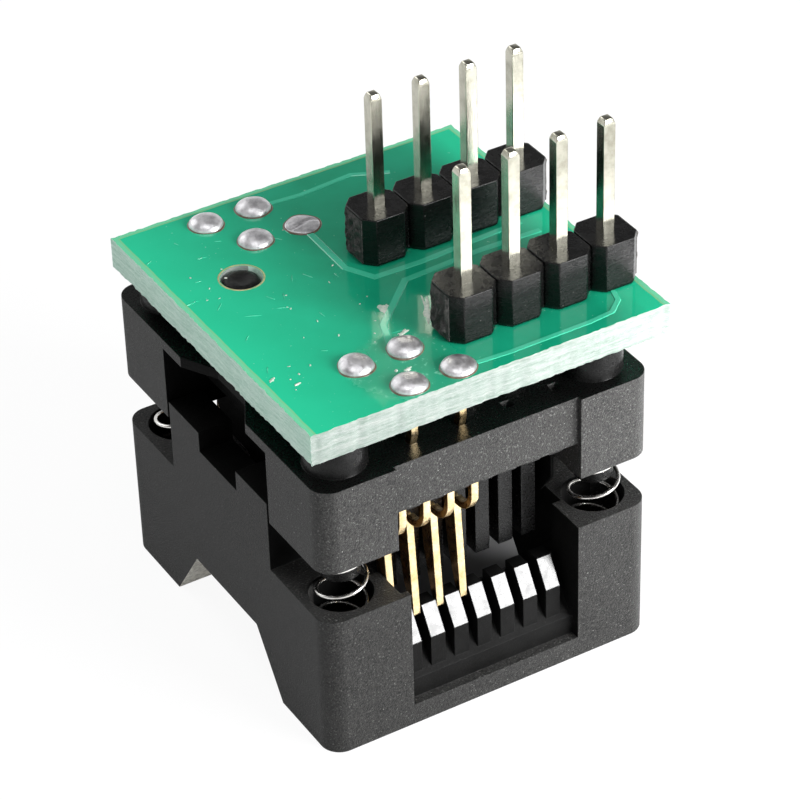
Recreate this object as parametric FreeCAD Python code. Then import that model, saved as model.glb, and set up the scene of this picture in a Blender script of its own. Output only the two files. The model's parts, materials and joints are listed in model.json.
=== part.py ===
import FreeCAD, Part
import math
import os

# An adapter that carries a small-outline chip in an open-top test socket and plugs into a
# dual-in-line socket by two rows of header pins. It stands on the socket's cover, pins up.
# Millimetres. X runs along the contact rows, +Z is up, and the origin is the middle of the
# cover's resting face. The socket looks the same after a half turn about Z.

# Contacts: the rows run along X, and outward sizes count from the socket's middle plane
contact_pitch = 1.27
slots_per_side = 8
fitted_per_side = 4
contact_thickness = 0.38
slot_clearance = 0.05
tail_width = 0.40
tail_kink = 0.14
tail_inset = 1.75
tail_rows_apart = 2.52
bar_below_base = 0.4
bar_past_tail = 0.9
bar_inset = 0.5
bar_slot_height = 0.8
hook_reach = 2.0
hook_drop = 0.9
strap_thickness = 0.35
strap_end_gap = 0.05

# Lever of a contact: the knob that it turns about, the arm that the comb pushes out, and the
# finger that presses on the chip's lead
knob_out = 7.5
knob_drop = 2.25
knob_r = 0.42
arm_from_comb = 0.8
arm_tip_gap = 0.15
arm_tip_width = 0.35
arm_root_width = 0.82
arm_bow = 0.13
crotch_drop = 1.2
crotch_width = 0.5
finger_side_gap = 0.12
finger_over_pedestal = 0.65
finger_gap = 0.08
finger_tip_thickness = 0.32
finger_thickness = 0.57
finger_toe = 0.4
finger_root = 1.2
finger_bow = 0.4

# Header strips
header_pitch = 2.54
header_rows_apart = 7.62
pins_per_row = 4
solder_to_header = 1.015
front_row_from_edge = 3.52
header_height = 2.54
header_corner_cut = 0.5
pin_side = 0.62
pin_above_header = 6.0
pin_below_board = 1.2
pin_taper = 0.5
pin_tip_side = 0.32

# Circuit board
header_past_board = 0.02
board_width = 19.0
board_thickness = 1.6
board_inset_x = 0.01
board_inset_y = 0.57
pin_hole_r = 0.5
tail_hole_r = 0.4

# Solder joints
contact_solder_r = 0.85
contact_solder_dome = 0.45
contact_solder_crown = 0.3
pin_solder_r = 0.68
pin_solder_cone = 0.55
solder_sides = 12

# Locating pegs
peg_past_column = 0.36
peg_y = 3.37
peg_hole_r = 1.0
peg_clearance = 0.06

# Cover
cover_floor = 1.15
post_top = 7.7
corner_radius = 1.0
window_left_inset = 0.56
window_right_inset = 0.12
well_past_column = 0.37
well_half_y = 3.4
well_lead_in = 0.5
comb_past_knob = 0.05
fin_depth = 1.58
fin_top = 5.45
fin_top_depth = 0.75
fin_slope_foot = 4.08
cam_crest = 4.9
cam_bend_depth = 0.3
cam_bend_height = 3.95
cam_foot_depth = 1.33
cam_foot_height = 2.63
ledge_past_fin = 0.22
ledge_height = 2.2
arm_room = 0.12
tongue_thickness = 1.8
horn_height = 1.1
horn_gap = 0.25
horn_inner_y = 1.78
end_notch_height = 3.25
end_notch_foot_y = 5.2
end_notch_top_y = 2.95

# Latch legs of the base, which stop the cover
well_wall = 0.5
latch_thickness = 0.65
latch_backing = 0.46
latch_half_y = 1.4
latch_hook = 0.5
latch_hook_height = 0.8
latch_drop = 3.4
latch_gap = 0.1

# Press
press_travel = 2.7
press_gap = 0.1
slide_gap = 0.15

# Base
column_height = 1.9
column_gap = 0.195
column_width = 4.94
base_thickness = 2.6
long_wall_step = 0.25
wall_past_hook = 0.09
thin_plate = 0.55
plate_notch_wide_y = 3.1
plate_notch_narrow_y = 1.3
plate_notch_depth = 1.0
standoff_height = 1.4
standoff_inset_x = 2.01
standoff_inset_y = 2.14
standoff_r = 1.3
standoff_lip = 0.2

# Springs and the pins that hold them
spring_inset_x = 1.95
spring_inset_y = 1.99
spring_pocket_r = 1.5
spring_outer_r = 1.32
spring_wire = 0.22
spring_active_turns = 6
spring_steps = 9
spring_wire_sides = 4
spring_pin_r = 0.95
spring_pin_length = 1.55

# Chip nest
nest_height = 6.4
nest_gap = 0.1
nest_comb_inset = 0.5
nest_rib_inset = 0.1
nest_rib_drop = 0.25
chip_guide_drop = 1.6
chip_guide_thickness = 0.2
chip_guide_half_y = 1.9
chip_relief_depth = 0.4
chip_relief_half_y = 1.0

# Heights, worked out from the sizes above
column_bottom = post_top + press_travel + press_gap
base_underside = column_bottom + column_height
base_top = base_underside + base_thickness
board_bottom = base_top + standoff_height
board_top = board_bottom + board_thickness
header_top = board_top + header_height
horn_top = base_top - thin_plate - press_travel - horn_gap
tongue_top = horn_top - horn_height
bar_top = base_underside + bar_slot_height
seat_height = base_underside - nest_height
knob_height = base_underside - knob_drop
latch_bottom = post_top - latch_drop

# Lengths along X, worked out outwards from the contact rows
slot_width = contact_thickness + 2 * slot_clearance
fin_width = contact_pitch - slot_width
column_inner_x = (slots_per_side - 1) / 2 * contact_pitch + slot_width / 2 + column_gap
window_left_x = -column_inner_x + window_left_inset
window_right_x = column_inner_x - window_right_inset
well_half_x = column_inner_x + well_past_column
nest_half_x = well_half_x - nest_gap
latch_x = well_half_x + well_wall
recess_inner = latch_x + latch_thickness + latch_backing
body_half_x = recess_inner + slide_gap + tongue_thickness
spring_x = body_half_x - spring_inset_x
standoff_x = body_half_x - standoff_inset_x
peg_x = column_inner_x + peg_past_column

# Widths along Y, worked out outwards from the knobs
inner_tail_out = knob_out - tail_inset
outer_tail_out = inner_tail_out + tail_rows_apart
hook_out = knob_out + hook_reach
bar_slot_inner = inner_tail_out - bar_past_tail
bar_slot_outer = hook_out - bar_inset
comb_inner = knob_out + comb_past_knob
fin_face = comb_inner + fin_depth
ledge_out = fin_face + ledge_past_fin
arm_tip_out = comb_inner + arm_from_comb
pedestal_half_y = well_half_y - nest_gap
nest_comb_out = knob_out - nest_comb_inset
nest_rib_out = hook_out - nest_rib_inset
wall_face = hook_out + wall_past_hook
body_half_y = wall_face + long_wall_step
spring_y = body_half_y - spring_inset_y
standoff_y = body_half_y - standoff_inset_y
tongue_half_y = body_half_y - column_width - slide_gap

# Corners of the board and of the header, worked out from the body and the solder joints
board_left_x = board_inset_x - body_half_x
board_front_y = board_inset_y - body_half_y
last_inner_solder_x = (fitted_per_side - 2 - (slots_per_side - 1) / 2) * contact_pitch
first_pin_x = last_inner_solder_x + contact_solder_r + solder_to_header + header_pitch / 2
board_right_x = first_pin_x + (pins_per_row - 0.5) * header_pitch - header_past_board
front_row_y = board_front_y + front_row_from_edge

os.makedirs("parts", exist_ok=True)


def point(x, y, z):
    return FreeCAD.Vector(x, y, z)


def block(x0, x1, y0, y1, z0, z1):
    return Part.makeBox(x1 - x0, y1 - y0, z1 - z0, point(x0, y0, z0))


def post(x, y, z0, z1, radius):
    return Part.makeCylinder(radius, z1 - z0, point(x, y, z0))


def rounded_block(half_x, half_y, z0, z1, radius):
    shape = block(-half_x, half_x, -half_y, half_y, z0, z1)
    upright = [edge for edge in shape.Edges if edge.BoundBox.ZLength > (z1 - z0) / 2]
    return shape.makeFillet(radius, upright)


def half_turn(shape):
    copy = shape.copy()
    copy.rotate(point(0, 0, 0), point(0, 0, 1), 180)
    return copy


def both_sides(shape):
    return [shape, half_turn(shape)]


def four_corners(x, y):
    return [(side_x * x, side_y * y) for side_y in (-1, 1) for side_x in (-1, 1)]


def outline(start, steps, x):
    """Closed face in an upright plane of the front side, at x. A point is (distance out, height).
    A step is the end point of a line, or the middle and end points of an arc."""
    def at(place):
        return point(x, -place[0], place[1])
    edges = []
    here = start
    for step in steps:
        if isinstance(step[0], tuple):
            middle, end = step
            edges.append(Part.Arc(at(here), at(middle), at(end)).toShape())
        else:
            end = step
            edges.append(Part.LineSegment(at(here), at(end)).toShape())
        here = end
    if here != start:
        edges.append(Part.LineSegment(at(here), at(start)).toShape())
    return Part.Face(Part.Wire(edges))


def bowed(start, end, bow):
    """An arc step from start to end, which bulges by bow to the right of the way there."""
    run = math.dist(start, end)
    right = ((end[1] - start[1]) / run, (start[0] - end[0]) / run)
    middle = ((start[0] + end[0]) / 2 + bow * right[0], (start[1] + end[1]) / 2 + bow * right[1])
    return (middle, end)


def plate(start, steps, x, thickness):
    """A flat plate with an upright outline, centred on x."""
    return outline(start, steps, x - thickness / 2).extrude(point(thickness, 0, 0))


def spun(profile, x, y):
    """A solid of revolution about the upright line at x, y, from (radius, height) points."""
    corners = [point(x + r, y, z) for r, z in profile]
    face = Part.Face(Part.makePolygon(corners + [corners[0]]))
    return face.revolve(point(x, y, 0), point(0, 0, 1), 360)


def ringed(rings, sides, x, y):
    """A flat-sided solid about the upright line at x, y, through level rings of corners. A ring
    is the distance of its corners from the line, and its height, from the lowest up."""
    levels = []
    for radius, z in rings:
        turns = [2 * math.pi * (k + 0.5) / sides for k in range(sides)]
        levels.append([point(x + radius * math.cos(a), y + radius * math.sin(a), z) for a in turns])
    corners = [levels[0][::-1], levels[-1]]
    for low, high in zip(levels, levels[1:]):
        for k in range(sides):
            corners.append([low[k - 1], low[k], high[k], high[k - 1]])
    faces = [Part.Face(Part.makePolygon(around + around[:1])) for around in corners]
    return Part.makeSolid(Part.makeShell(faces))


def save(shape, name):
    shape.exportStep("parts/" + name + ".step")


def slot_x(index):
    """The middle of a contact slot on the front side, counted from -X."""
    return (index - (slots_per_side - 1) / 2) * contact_pitch


def tail_out(index):
    """Tails stand in two staggered lines."""
    return inner_tail_out if index % 2 == 0 else outer_tail_out


def fitted_places():
    """Each fitted contact: its number, its slot counted on its own side, and whether it is at
    the rear. The four on each side stand at the -X end."""
    front = [(i + 1, i, False) for i in range(fitted_per_side)]
    rear = [(fitted_per_side + i + 1, slots_per_side - 1 - i, True) for i in range(fitted_per_side)]
    return front + rear


def pin_places():
    """The middle of each header pin, row by row."""
    rows = (front_row_y, front_row_y + header_rows_apart)
    return [(first_pin_x + i * header_pitch, y) for y in rows for i in range(pins_per_row)]


def tail_places():
    """Where the tail of each fitted contact passes the board."""
    places = []
    for number, index, rear in fitted_places():
        turn = -1 if rear else 1
        places.append((turn * slot_x(index), -turn * tail_out(index)))
    return places


# Circuit board

def circuit_board():
    board = block(board_left_x, board_right_x, board_front_y, board_front_y + board_width,
                  board_bottom, board_top)
    holes = [post(x, y, board_bottom, board_top, pin_hole_r) for x, y in pin_places()]
    holes += [post(x, y, board_bottom, board_top, tail_hole_r) for x, y in tail_places()]
    holes += [post(x, y, board_bottom, board_top, peg_hole_r) for x, y in peg_places()]
    return board.cut(holes)


def peg_places():
    """The two locating pegs stand at opposite corners."""
    return [(-peg_x, peg_y), (peg_x, -peg_y)]


# Header strips and pins

def header_pin(x, y):
    """A square pin with a pointed end above the strip and one below the board."""
    low = board_bottom - pin_below_board
    high = header_top + pin_above_header
    shaft_r = pin_side / math.sqrt(2)
    tip_r = pin_tip_side / math.sqrt(2)
    return ringed([(tip_r, low), (shaft_r, low + pin_taper), (shaft_r, high - pin_taper),
                   (tip_r, high)], 4, x, y)


def header_strip(y):
    """A row of moulded cubes with their upright edges cut off, which leaves notches to snap at."""
    half = header_pitch / 2
    inner = half - header_corner_cut
    cubes = []
    for i in range(pins_per_row):
        x = first_pin_x + i * header_pitch
        around = [(-half, -inner), (-inner, -half), (inner, -half), (half, -inner),
                  (half, inner), (inner, half), (-inner, half), (-half, inner)]
        corners = [point(x + dx, y + dy, board_top) for dx, dy in around]
        cube = Part.Face(Part.makePolygon(corners + [corners[0]]))
        cubes.append(cube.extrude(point(0, 0, header_height)))
    strip = cubes[0].fuse(cubes[1:]).removeSplitter()
    side = pin_side / 2
    holes = [block(px - side, px + side, py - side, py + side, board_top, header_top)
             for px, py in pin_places() if abs(py - y) < half]
    return strip.cut(holes)


# Solder joints

def contact_solder(x, y):
    """A dome on top of the board that covers the end of a contact's tail."""
    shoulder_r = contact_solder_r - contact_solder_dome / 2
    return ringed([(contact_solder_r, board_top),
                   (shoulder_r, board_top + 0.6 * contact_solder_dome),
                   (contact_solder_crown, board_top + contact_solder_dome)], solder_sides, x, y)


def header_solder(x, y, pin):
    """A cone under the board that grips a header pin."""
    cone = ringed([(pin_hole_r, board_bottom - pin_solder_cone), (pin_solder_r, board_bottom)],
                  solder_sides, x, y)
    return cone.cut(pin)


# Socket base

def standoff(x, y):
    """A round foot with a wider skirt, which keeps the board off the base."""
    skirt_r = standoff_r + standoff_lip
    skirt_top = base_top + standoff_height / 2
    return spun([(0, base_top), (skirt_r, base_top), (skirt_r, skirt_top),
                 (standoff_r, board_bottom), (0, board_bottom)], x, y)


def latch_leg():
    """A leg at the +X end whose hook stops the cover when the springs push it out."""
    hook_top = latch_bottom + latch_hook_height
    face_points = [(latch_x, base_underside), (latch_x, latch_bottom),
                   (latch_x + latch_thickness, latch_bottom),
                   (latch_x + latch_thickness + latch_hook, hook_top - latch_hook / 2),
                   (latch_x + latch_thickness + latch_hook, hook_top),
                   (latch_x + latch_thickness, hook_top),
                   (latch_x + latch_thickness, base_underside)]
    corners = [point(x, -latch_half_y, z) for x, z in face_points]
    face = Part.Face(Part.makePolygon(corners + [corners[0]]))
    return face.extrude(point(0, 2 * latch_half_y, 0))


def base_end_recess():
    """The room at the +X end for the cover's tongue, and the notch in the thin plate over it."""
    room = block(recess_inner, body_half_x, -tongue_half_y - slide_gap, tongue_half_y + slide_gap,
                 column_bottom, base_top - thin_plate)
    edge = body_half_x
    corners = [point(edge, -plate_notch_wide_y, base_underside),
               point(edge - plate_notch_depth, -plate_notch_narrow_y, base_underside),
               point(edge - plate_notch_depth, plate_notch_narrow_y, base_underside),
               point(edge, plate_notch_wide_y, base_underside)]
    notch = Part.Face(Part.makePolygon(corners + [corners[0]]))
    return [room, notch.extrude(point(0, 0, base_top - base_underside))]


def base_contact_slot(index):
    """The slot in the base's underside that holds a contact's bar, and the hole for its tail."""
    x = slot_x(index)
    half = slot_width / 2
    out = tail_out(index)
    tail_half = tail_width / 2 + slot_clearance
    bar = block(x - half, x + half, -bar_slot_outer, -bar_slot_inner, base_underside, bar_top)
    tail = block(x - half, x + half, -out - tail_half, -out + tail_half, bar_top, base_top)
    return [bar, tail]


def socket_base():
    base = rounded_block(body_half_x, body_half_y, column_bottom, base_top, corner_radius)
    between_columns = block(-column_inner_x, column_inner_x, -body_half_y, body_half_y,
                            column_bottom, base_underside)
    across = block(-body_half_x, body_half_x, -tongue_half_y - slide_gap,
                   tongue_half_y + slide_gap, column_bottom, base_underside)
    wall_step = block(-column_inner_x, column_inner_x, -body_half_y, -wall_face,
                      column_bottom, base_top)
    cuts = [between_columns, across]
    cuts += both_sides(wall_step)
    for piece in base_end_recess():
        cuts += both_sides(piece)
    for index in range(slots_per_side):
        for piece in base_contact_slot(index):
            cuts += both_sides(piece)
    base = base.cut(cuts)
    added = [post(x, y, column_bottom - spring_pin_length, column_bottom, spring_pin_r)
             for x, y in four_corners(spring_x, spring_y)]
    added += [standoff(x, y) for x, y in four_corners(standoff_x, standoff_y)]
    peg_r = peg_hole_r - peg_clearance
    peg_top = board_top - board_thickness / 2
    added += [post(x, y, base_top, peg_top, peg_r) for x, y in peg_places()]
    added += both_sides(latch_leg())
    return base.fuse(added).removeSplitter()


# Chip nest

def chip_nest():
    """The pedestal that the chip's leads rest on, and the walls that keep the contacts apart."""
    nest = block(-nest_half_x, nest_half_x, -pedestal_half_y, pedestal_half_y,
                 seat_height, base_underside)
    rib_low = base_underside - nest_rib_drop
    wall_out = [(nest_comb_out, seat_height), (nest_comb_out, rib_low), (nest_rib_out, rib_low),
                (nest_rib_out, base_underside), (0, base_underside)]
    walls = []
    for index in range(slots_per_side - 1):
        wall = plate((0, seat_height), wall_out, slot_x(index) + contact_pitch / 2,
                     contact_pitch - slot_width)
        walls += both_sides(wall)
    guide_low = seat_height - chip_guide_drop
    guide = block(nest_half_x - chip_guide_thickness, nest_half_x, -chip_guide_half_y,
                  chip_guide_half_y, guide_low, seat_height)
    walls += both_sides(guide)
    relief = block(-nest_half_x, nest_half_x, -chip_relief_half_y, chip_relief_half_y,
                   seat_height, seat_height + chip_relief_depth)
    return nest.fuse(walls).removeSplitter().cut(relief)


# Socket cover

def cam_floor():
    """The slanted floor of a slot, which pushes a contact's arm out as the cover is pressed."""
    return [(comb_inner, cam_crest), (comb_inner + cam_bend_depth, cam_bend_height),
            (comb_inner + cam_foot_depth, cam_foot_height)]


def comb(left_x, right_x):
    """Front comb: slanted cam floors for the contact arms, with a fin between each two arms."""
    cam = cam_floor() + [(ledge_out, ledge_height), (ledge_out, cover_floor)]
    floor_length = right_x - left_x
    cams = plate((comb_inner, cover_floor), cam, (left_x + right_x) / 2, floor_length)
    fin = [(comb_inner, fin_top), (comb_inner + fin_top_depth, fin_top),
           (fin_face, fin_slope_foot), (fin_face, cover_floor)]
    fins = [plate((comb_inner, cover_floor), fin, slot_x(i) + contact_pitch / 2, fin_width)
            for i in range(slots_per_side - 1)]
    return cams.fuse(fins)


def arm_slot(index):
    """The room that a contact's arm swings in, where the comb's ends meet the posts."""
    x = slot_x(index)
    room_out = ledge_out + arm_room
    room = cam_floor() + [(room_out, ledge_height), (room_out, post_top)]
    return plate((comb_inner, post_top), room, x, slot_width)


def cover_end():
    """What stands on the cover's +X end wall: a tongue with two horns."""
    inner = body_half_x - tongue_thickness
    tongue = block(inner, body_half_x, -tongue_half_y, tongue_half_y, post_top, tongue_top)
    horns = [block(inner, body_half_x, horn_inner_y, tongue_half_y, tongue_top, horn_top),
             block(inner, body_half_x, -tongue_half_y, -horn_inner_y, tongue_top, horn_top)]
    return tongue.fuse(horns).removeSplitter()


def end_notch():
    """The tapered notch in the resting face through the +X end wall."""
    corners = [point(well_half_x, -end_notch_foot_y, 0),
               point(well_half_x, -end_notch_top_y, end_notch_height),
               point(well_half_x, end_notch_top_y, end_notch_height),
               point(well_half_x, end_notch_foot_y, 0)]
    face = Part.Face(Part.makePolygon(corners + [corners[0]]))
    return face.extrude(point(body_half_x - well_half_x, 0, 0))


def latch_pocket():
    """The room for the +X latch leg: narrow above, and wider below its ledge for the hook."""
    hook_top = latch_bottom + latch_hook_height
    half = latch_half_y + slide_gap
    leg_room = block(latch_x - latch_gap, latch_x + latch_thickness + latch_gap, -half, half,
                     0, post_top)
    hook_room = block(latch_x - latch_gap, latch_x + latch_thickness + latch_hook + latch_gap,
                      -half, half, 0, hook_top + latch_gap / 2)
    return leg_room.fuse(hook_room)


def chip_well():
    """The opening that the chip goes in through, wider at the resting face."""
    def rectangle(grow, z):
        x = well_half_x + grow
        y = well_half_y + grow
        corners = [point(-x, -y, z), point(x, -y, z), point(x, y, z), point(-x, y, z)]
        return Part.makePolygon(corners + [corners[0]])
    lead_in = Part.makeLoft([rectangle(well_lead_in, 0), rectangle(0, well_lead_in)], True, True)
    well = block(-well_half_x, well_half_x, -well_half_y, well_half_y, 0, cover_floor)
    return [lead_in, well]


def socket_cover():
    cover = rounded_block(body_half_x, body_half_y, 0, post_top, corner_radius)
    cavity = block(-well_half_x, well_half_x, -comb_inner, comb_inner, cover_floor, post_top)
    window = block(window_left_x, window_right_x, -body_half_y, -comb_inner, cover_floor, post_top)
    cover = cover.cut([cavity] + chip_well() + both_sides(window))
    cover = cover.fuse(both_sides(comb(window_left_x, window_right_x)) + both_sides(cover_end()))
    cuts = both_sides(end_notch()) + both_sides(latch_pocket())
    cuts += both_sides(arm_slot(0)) + both_sides(arm_slot(slots_per_side - 1))
    cuts += [post(x, y, cover_floor, post_top, spring_pocket_r)
             for x, y in four_corners(spring_x, spring_y)]
    return cover.cut(cuts).removeSplitter()


# Springs

def spring(x, y):
    """A coil spring from the floor of the cover's pocket to the underside of the base's column."""
    mean_r = spring_outer_r - spring_wire / 2
    low = cover_floor + spring_wire / 2
    high = column_bottom - spring_wire / 2
    turns = spring_active_turns + 2
    pitch = (high - low - 2 * spring_wire) / spring_active_turns

    def height(turn):
        """The first and last turns lie close and flat, and the rest rise by the pitch."""
        open_turns = min(max(turn - 1, 0), spring_active_turns)
        return low + pitch * open_turns + spring_wire * (turn - open_turns)

    def wire_section(turn):
        around = FreeCAD.Rotation(point(0, 0, 1), 360 * turn)
        corners = []
        for k in range(spring_wire_sides):
            angle = 2 * math.pi * k / spring_wire_sides
            flat = point(mean_r + spring_wire / 2 * math.cos(angle), 0,
                         height(turn) + spring_wire / 2 * math.sin(angle))
            corners.append(around.multVec(flat) + point(x, y, 0))
        return Part.makePolygon(corners + [corners[0]])

    sections = [wire_section(i / spring_steps) for i in range(turns * spring_steps + 1)]
    return Part.makeLoft(sections, True, True)


# Contacts

def contact_root(index):
    """The fixed part of a contact: its tail, its bar in the base, and the strap that hooks round
    outside and springs at the lever's knob."""
    x = slot_x(index)
    bar_low = base_underside - bar_below_base
    hook_low = base_underside - hook_drop
    strap_end = knob_out + knob_r + strap_end_gap
    inside = (hook_out - strap_thickness, bar_low)
    end_high = (strap_end, knob_height + 1.5 * strap_thickness)
    end_low = (strap_end, knob_height + 0.5 * strap_thickness)
    outside = (hook_out, hook_low)
    bar = plate((bar_slot_inner, bar_low), [
        inside, bowed(inside, end_high, -1.4 * strap_thickness), end_low,
        bowed(end_low, outside, 1.1 * strap_thickness), (hook_out, base_underside),
        (bar_slot_outer, base_underside), (bar_slot_outer, bar_top),
        (bar_slot_inner, bar_top)], x, contact_thickness)
    near = tail_out(index) - tail_width / 2
    far = near + tail_width
    kink_low = base_top + standoff_height / 3
    kink_high = board_bottom - standoff_height / 3
    tail = plate((near, bar_top), [
        (far, bar_top), (far, base_top), (far + tail_kink, kink_low),
        (far + tail_kink, kink_high), (far, board_bottom), (far, board_top),
        (near, board_top), (near, board_bottom), (near + tail_kink, kink_high),
        (near + tail_kink, kink_low), (near, base_top)], x, contact_thickness)
    return bar.fuse(tail).removeSplitter()


def contact_lever(index):
    """The turning part of a contact: an arm down to the comb and a finger in to the chip."""
    knob_side = (knob_out + knob_r, knob_height)
    tip = (arm_tip_out, cam_crest + arm_tip_gap)
    tip_inner = (tip[0] - arm_tip_width, tip[1] + arm_tip_width / 4)
    arm_root = (knob_side[0] - arm_root_width, knob_height - crotch_drop)
    crotch = (arm_root[0] - crotch_width, arm_root[1])
    pad_height = seat_height - finger_gap
    toe = (pedestal_half_y - finger_over_pedestal, pad_height)
    toe_low = (toe[0], pad_height - finger_tip_thickness)
    sole = (toe[0] + finger_toe, pad_height - finger_thickness)
    heel = (pedestal_half_y + finger_side_gap, pad_height)
    elbow = (heel[0] + 1.3 * finger_thickness, pad_height)
    finger_top = (knob_out - finger_root, knob_height - knob_r)
    knob_top = (knob_out, knob_height + knob_r)
    return plate(knob_side, [
        tip, bowed(tip, tip_inner, -arm_tip_width / 2.5), bowed(tip_inner, arm_root, -arm_bow),
        bowed(arm_root, crotch, crotch_width / 2.2), bowed(crotch, elbow, finger_bow),
        bowed(elbow, sole, -finger_bow / 3), toe_low, toe, heel,
        bowed(heel, finger_top, -finger_bow), knob_top,
        bowed(knob_top, knob_side, -knob_r * (1 - math.sqrt(0.5)))],
        slot_x(index), contact_thickness)


# Write each piece

save(circuit_board(), "circuit_board")

for name, y in (("front", front_row_y), ("rear", front_row_y + header_rows_apart)):
    save(header_strip(y), "header_strip_" + name)

header_joints = []
for number, (x, y) in enumerate(pin_places(), 1):
    pin = header_pin(x, y)
    header_joints.append(header_solder(x, y, pin))
    save(pin, "header_pin_" + str(number))
save(Part.makeCompound(header_joints), "header_solder_joints")

save(socket_base(), "socket_base")
save(chip_nest(), "chip_nest")
save(socket_cover(), "socket_cover")

for number, (x, y) in enumerate(four_corners(spring_x, spring_y), 1):
    save(spring(x, y), "cover_spring_" + str(number))

contact_joints = []
for (number, index, rear), (x, y) in zip(fitted_places(), tail_places()):
    root = contact_root(index)
    lever = contact_lever(index)
    if rear:
        root = half_turn(root)
        lever = half_turn(lever)
    save(root, "contact_root_" + str(number))
    save(lever, "contact_lever_" + str(number))
    contact_joints.append(contact_solder(x, y))
save(Part.makeCompound(contact_joints), "contact_solder_joints")
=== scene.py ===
"""The looks of a small-outline test-socket adapter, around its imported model. Lengths are in
metres, and a number that is meant in millimetres is multiplied by MM."""

import math
import random

import bmesh
import bpy
from mathutils import Matrix, Vector, noise
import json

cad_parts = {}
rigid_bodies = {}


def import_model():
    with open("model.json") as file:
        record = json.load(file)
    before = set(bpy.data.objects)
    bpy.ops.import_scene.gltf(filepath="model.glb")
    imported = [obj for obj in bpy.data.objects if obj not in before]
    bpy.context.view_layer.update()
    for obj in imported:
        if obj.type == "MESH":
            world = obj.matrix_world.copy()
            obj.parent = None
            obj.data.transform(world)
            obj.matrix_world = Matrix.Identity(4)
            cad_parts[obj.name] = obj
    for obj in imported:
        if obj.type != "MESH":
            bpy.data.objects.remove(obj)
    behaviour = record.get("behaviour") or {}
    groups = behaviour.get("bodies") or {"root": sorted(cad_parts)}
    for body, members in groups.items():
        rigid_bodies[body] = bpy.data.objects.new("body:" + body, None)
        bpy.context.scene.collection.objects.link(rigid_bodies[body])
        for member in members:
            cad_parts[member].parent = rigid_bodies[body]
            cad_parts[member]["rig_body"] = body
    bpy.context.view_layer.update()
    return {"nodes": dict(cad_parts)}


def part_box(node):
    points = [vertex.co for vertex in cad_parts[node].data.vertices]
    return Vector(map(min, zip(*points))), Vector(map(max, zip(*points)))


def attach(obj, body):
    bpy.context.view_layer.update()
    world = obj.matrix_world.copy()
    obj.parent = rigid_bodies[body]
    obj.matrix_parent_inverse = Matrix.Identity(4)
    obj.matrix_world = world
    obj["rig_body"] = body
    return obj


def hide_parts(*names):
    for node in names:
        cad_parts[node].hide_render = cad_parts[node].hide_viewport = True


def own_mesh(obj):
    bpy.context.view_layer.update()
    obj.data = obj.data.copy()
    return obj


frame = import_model()
scene = bpy.context.scene

MM = 0.001
LEVERS = ["contact_lever_%d" % i for i in range(1, 9)]
ROOTS = ["contact_root_%d" % i for i in range(1, 9)]
PINS = ["header_pin_%d" % i for i in range(1, 9)]
SPRINGS = ["cover_spring_%d" % i for i in range(1, 5)]
STANDOFF = 1.4 * MM

board_low, board_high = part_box("circuit_board")
cover_low, cover_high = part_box("socket_cover")
base_top = board_low.z - STANDOFF
column_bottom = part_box("cover_spring_1")[1].z


# Mesh helpers

SMALL = 0.001 * MM
FLAT_ANGLE = math.radians(0.5)
SHARP_ANGLE = 25
EDGE_SEGMENTS = 2
# How the noise that makes turned forms uneven is scaled and shifted
WOBBLE_SPACING = 700
WOBBLE_OUT, WOBBLE_UP = 1.1, 1.3
WOBBLE_SHIFT = Vector((7, 3, 1))
WOBBLE_LIFT = 0.25


def body_of(node):
    return frame["nodes"][node]["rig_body"]


def cad_shape(node):
    """A bmesh of a CAD node whose split corners are merged and whose flat faces are whole again."""
    shape = bmesh.new()
    shape.from_mesh(frame["nodes"][node].data)
    bmesh.ops.remove_doubles(shape, verts=shape.verts, dist=SMALL)
    bmesh.ops.dissolve_limit(shape, angle_limit=FLAT_ANGLE, verts=shape.verts, edges=shape.edges)
    return shape


def add_piece(name, shape, materials, body, smooth=True):
    """Turns a bmesh into a piece that rides on a body."""
    mesh = bpy.data.meshes.new(name)
    shape.to_mesh(mesh)
    shape.free()
    piece = bpy.data.objects.new(name, mesh)
    scene.collection.objects.link(piece)
    for material in materials:
        mesh.materials.append(material)
    mesh.shade_smooth() if smooth else mesh.shade_flat()
    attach(piece, body)
    return piece


def add_form(name, shape, material, body, smooth=True):
    """Turns a form that was built here into a piece of one material, with its faces outwards."""
    bmesh.ops.recalc_face_normals(shape, faces=shape.faces)
    return add_piece(name, shape, [material], body, smooth)


def round_edges(piece, width, angle=SHARP_ANGLE):
    """Rounds the sharp edges of a piece, and keeps its flat faces flat to the eye."""
    bevel = piece.modifiers.new("Rounded edges", "BEVEL")
    bevel.width = width
    bevel.segments = EDGE_SEGMENTS
    bevel.limit_method = "ANGLE"
    bevel.angle_limit = math.radians(angle)
    bevel.miter_outer = "MITER_ARC"
    even = piece.modifiers.new("Even normals", "WEIGHTED_NORMAL")
    even.weight = 100
    even.mode = "FACE_AREA"


def dressed_copy(node, name, material, width):
    """A copy of a CAD node with rounded edges, which stands for it."""
    piece = add_piece(name, cad_shape(node), [material], body_of(node))
    round_edges(piece, width)
    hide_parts(node)
    return piece


def join_rings(shape, rings, foot=False, top=False):
    """Adds the faces between rings of vertices, and closes the first or last ring if asked."""
    for lower, upper in zip(rings, rings[1:]):
        for k in range(len(lower)):
            shape.faces.new((lower[k - 1], lower[k], upper[k], upper[k - 1]))
    if foot:
        shape.faces.new(rings[0][::-1])
    if top:
        shape.faces.new(rings[-1])


def extrude_to(shape, faces, x):
    """Thickens faces into a solid whose far side lies at x."""
    grown = bmesh.ops.extrude_face_region(shape, geom=faces)
    for vert in grown["geom"]:
        if isinstance(vert, bmesh.types.BMVert):
            vert.co.x = x


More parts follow.
